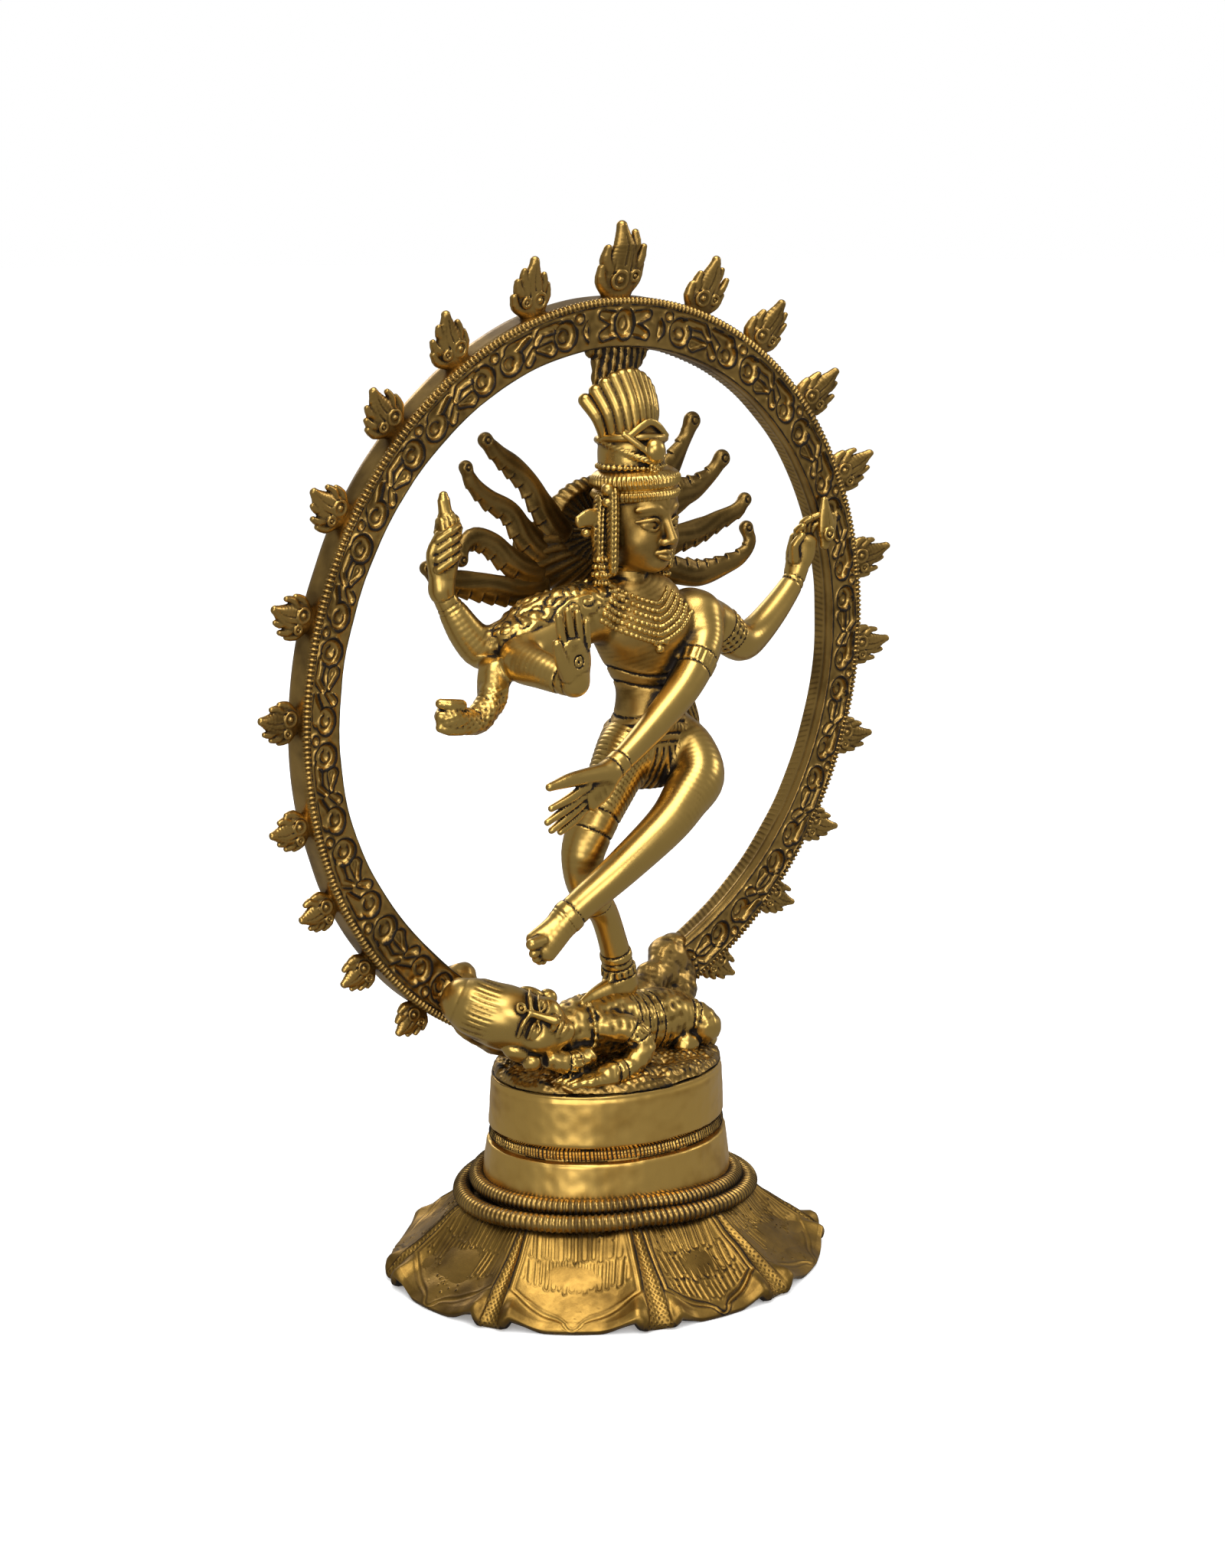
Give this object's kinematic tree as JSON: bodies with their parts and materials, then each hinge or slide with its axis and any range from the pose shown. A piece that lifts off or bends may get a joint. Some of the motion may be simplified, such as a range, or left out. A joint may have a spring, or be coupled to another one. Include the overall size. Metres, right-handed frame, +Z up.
{
  "type": "dancing nataraja statue",
  "caption": "Cast brass dancer with four arms inside an open oval arch of flames, standing on a dwarf on a hollow lotus pedestal.",
  "frame": {"origin": "middle of the pedestal's foot, on the surface that the statue stands on", "axes": "+Z up; the statue faces -Y; +X is towards the dancer's own left, which is the right of somebody who faces the statue"},
  "size_m": [0.2256, 0.1212, 0.3073],
  "materials": {
    "bright_brass": "hand polished, with dark patina in the engraving",
    "aged_brass": "aged antique brass with worn bright edges",
    "dark_brass": "dark brown patina, worn a little on the tips",
    "fixing_steel": "plain turned steel"
  },
  "bodies": {
    "root": {"lotus_skirt": "aged_brass", "rope_ring_lower": "aged_brass", "rope_ring_upper": "aged_brass", "pedestal_drum": "bright_brass", "fixing_stud": "fixing_steel", "fixing_washer": "fixing_steel", "fixing_nut": "fixing_steel", "ground_plate": "aged_brass", "torso": "bright_brass", "standing_leg": "bright_brass", "raised_leg": "bright_brass", "rear_right_arm": "bright_brass", "front_right_arm": "bright_brass", "rear_left_arm": "bright_brass", "front_left_arm": "bright_brass", "necklace_collar": "bright_brass", "head": "bright_brass", "tiara_band": "bright_brass", "topknot": "bright_brass", "feather_fan": "bright_brass", "right_ear_tassel": "bright_brass", "left_ear_tassel": "bright_brass", "hair_hub": "dark_brass", "hair_lock_right_1": "dark_brass", "hair_lock_right_2": "dark_brass", "hair_lock_right_3": "dark_brass", "hair_lock_right_4": "dark_brass", "hair_lock_left_1": "dark_brass", "hair_lock_left_2": "dark_brass", "hair_lock_left_3": "dark_brass", "hair_lock_left_4": "dark_brass", "hand_drum": "bright_brass", "arm_serpent": "bright_brass", "waist_sash": "aged_brass", "hand_flame": "bright_brass", "dwarf_body": "bright_brass", "dwarf_head": "bright_brass", "flame_arch": "aged_brass", "crown_bracket": "dark_brass", "flame_top": "aged_brass", "flame_right_1": "aged_brass", "flame_left_1": "aged_brass", "flame_right_2": "aged_brass", "flame_left_2": "aged_brass", "flame_right_3": "aged_brass", "flame_left_3": "aged_brass", "flame_right_4": "aged_brass", "flame_left_4": "aged_brass", "flame_right_5": "aged_brass", "flame_left_5": "aged_brass", "flame_right_6": "aged_brass", "flame_left_6": "aged_brass", "flame_right_7": "aged_brass", "flame_left_7": "aged_brass", "flame_right_8": "aged_brass", "flame_left_8": "aged_brass", "flame_right_9": "aged_brass", "flame_left_9": "aged_brass", "flame_right_10": "aged_brass", "flame_left_10": "aged_brass"}
  },
  "joints": []
}
